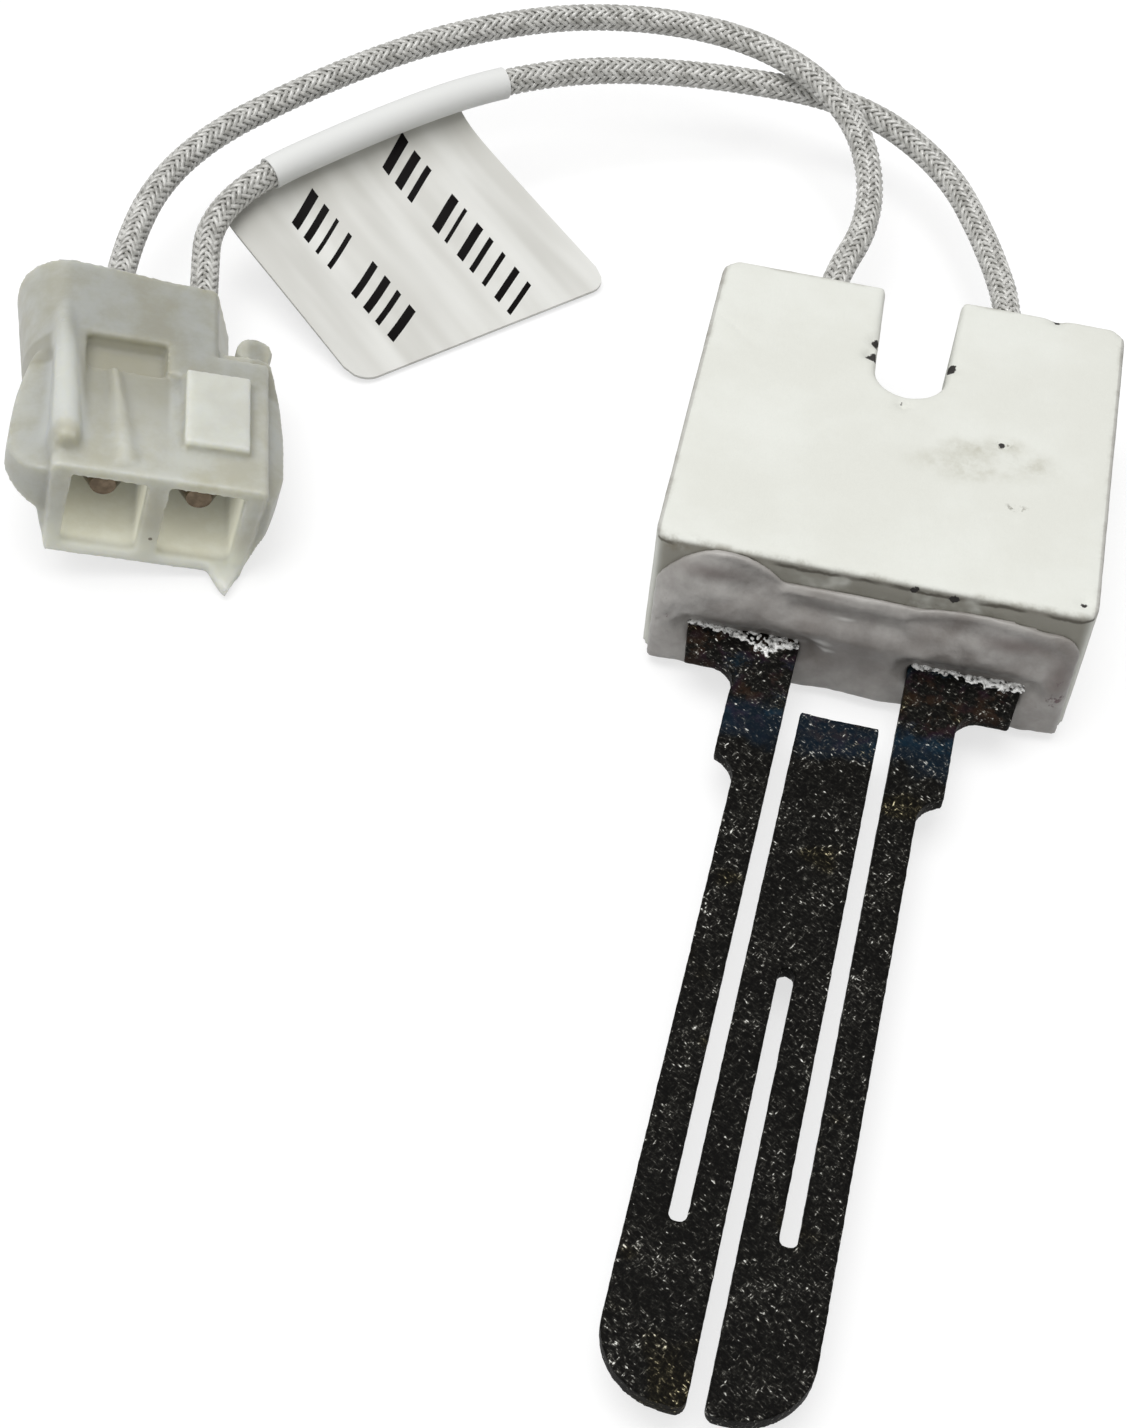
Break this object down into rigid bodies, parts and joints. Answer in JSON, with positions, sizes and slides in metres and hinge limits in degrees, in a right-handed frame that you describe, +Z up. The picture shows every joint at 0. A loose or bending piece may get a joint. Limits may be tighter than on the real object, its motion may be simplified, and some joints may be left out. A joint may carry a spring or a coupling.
{
  "type": "hot surface igniter",
  "caption": "Serpentine silicon carbide heater plate cemented into a slotted ceramic block, with braided leads to a nylon connector.",
  "frame": {"origin": "centre of the ceramic block's flat underside", "axes": "+Z up through the block, -Y along the heater plate towards its tip, +X across the block"},
  "size_m": [0.0762, 0.1128, 0.0122],
  "materials": {
    "block": "matt pressed ceramic",
    "cement": "smooth potting cement",
    "carbide": "dark recrystallised silicon carbide with bright grains",
    "clip": "nickel-plated sheet",
    "wire": "nickel-plated strands",
    "braid": "woven glass fibre",
    "film": "white gloss film",
    "nylon": "natural nylon",
    "pin": "dull bronze"
  },
  "bodies": {
    "root": {"ceramic_block": "block", "pocket_cement": "cement", "silicon_carbide_element": "carbide", "contact_clip_left": "clip", "contact_clip_right": "clip", "lead_core_left": "wire", "lead_core_right": "wire", "lead_braid_left": "braid", "lead_braid_right": "braid", "flag_label": "film", "connector_housing": "nylon", "pin_contact_left": "pin", "pin_contact_right": "pin"}
  },
  "joints": []
}
